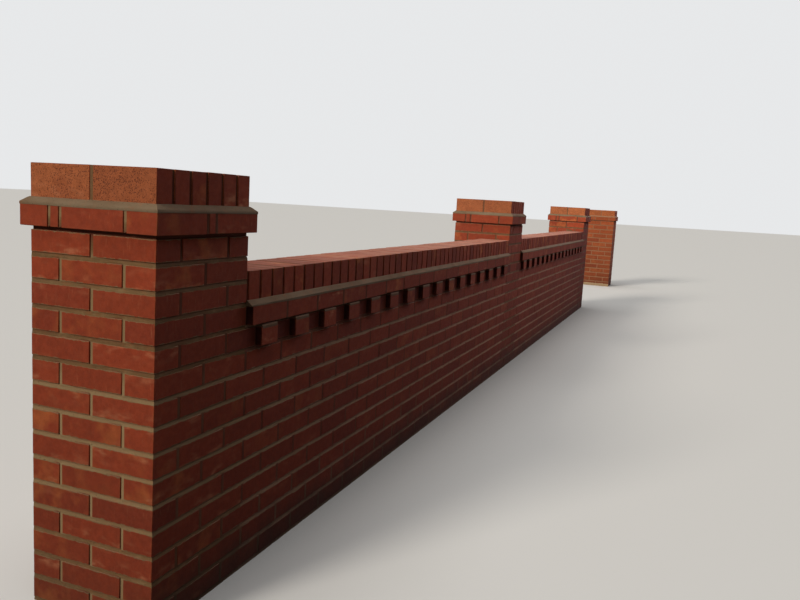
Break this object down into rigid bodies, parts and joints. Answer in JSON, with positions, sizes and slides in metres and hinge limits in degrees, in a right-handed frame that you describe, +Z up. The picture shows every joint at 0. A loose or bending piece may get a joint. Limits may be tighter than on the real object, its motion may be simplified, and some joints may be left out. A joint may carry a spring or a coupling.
{
  "type": "brick garden wall",
  "caption": "Front garden wall in red facing brick: square piers with oversailing caps, low panels with dentils, string course and brick-on-edge coping, and a gateway.",
  "frame": {"origin": "at ground level, halfway along the whole length, on the centre line of the piers", "axes": "+X along the wall, from the end pier through the gate pier to the far gate pier; +Y from the street face into the garden; +Z up"},
  "size_m": [12.27, 0.48, 1.3125],
  "materials": {
    "brickwork": "smooth orange-red facing brick, matt, laid in buff mortar",
    "mortar": "buff sand and cement mortar, trowelled"
  },
  "bodies": {
    "root": {"pier_1_shaft": "brickwork", "pier_1_oversailing_course": "brickwork", "pier_1_weathering": "mortar", "pier_1_cap_bricks": "brickwork", "pier_1_cap_joints": "mortar", "pier_2_shaft": "brickwork", "pier_2_oversailing_course": "brickwork", "pier_2_weathering": "mortar", "pier_2_cap_bricks": "brickwork", "pier_2_cap_joints": "mortar", "pier_3_shaft": "brickwork", "pier_3_oversailing_course": "brickwork", "pier_3_weathering": "mortar", "pier_3_cap_bricks": "brickwork", "pier_3_cap_joints": "mortar", "pier_4_shaft": "brickwork", "pier_4_oversailing_course": "brickwork", "pier_4_weathering": "mortar", "pier_4_cap_bricks": "brickwork", "pier_4_cap_joints": "mortar", "panel_1_wall": "brickwork", "panel_1_dentil_course": "brickwork", "panel_1_dentils": "brickwork", "panel_1_string_course": "brickwork", "panel_1_weathering": "mortar", "panel_1_coping_bricks": "brickwork", "panel_1_coping_joints": "mortar", "panel_2_wall": "brickwork", "panel_2_dentil_course": "brickwork", "panel_2_dentils": "brickwork", "panel_2_string_course": "brickwork", "panel_2_weathering": "mortar", "panel_2_coping_bricks": "brickwork", "panel_2_coping_joints": "mortar"}
  },
  "joints": []
}
